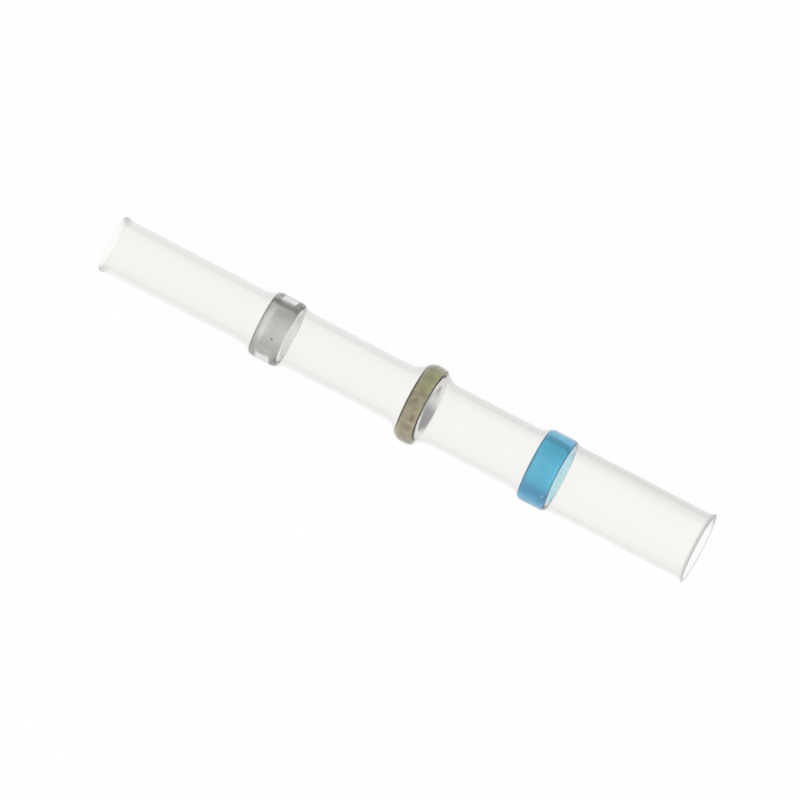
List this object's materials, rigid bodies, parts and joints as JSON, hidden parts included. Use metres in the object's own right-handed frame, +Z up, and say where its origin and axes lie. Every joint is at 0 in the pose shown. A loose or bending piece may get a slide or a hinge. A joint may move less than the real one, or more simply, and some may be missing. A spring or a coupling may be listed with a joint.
{
  "type": "solder sleeve",
  "caption": "Clear heat-shrink sleeve for joining wires, with a fluxed solder ring in the middle, a grey sealing ring on one side of it and a blue one on the other.",
  "frame": {"origin": "middle of the solder ring, on the tube's axis", "axes": "+X along the tube, from the narrow end with the grey ring to the wide end with the blue ring; +Z up, with the sleeve lying on its side"},
  "size_m": [0.04, 0.0052, 0.0052],
  "materials": {
    "clear_tube": "clear, slightly milky heat-shrink polyolefin",
    "grey_hot_melt": "natural grey hot-melt plastic, smooth",
    "solder": "bright low-melting solder",
    "flux": "dried olive and brown flux, mottled",
    "blue_hot_melt": "sky-blue hot-melt plastic, smooth"
  },
  "bodies": {
    "root": {"sleeve_tube": "clear_tube", "grey_seal_ring": "grey_hot_melt", "solder_ring": "solder", "flux_coat": "flux", "blue_seal_ring": "blue_hot_melt"}
  },
  "joints": []
}
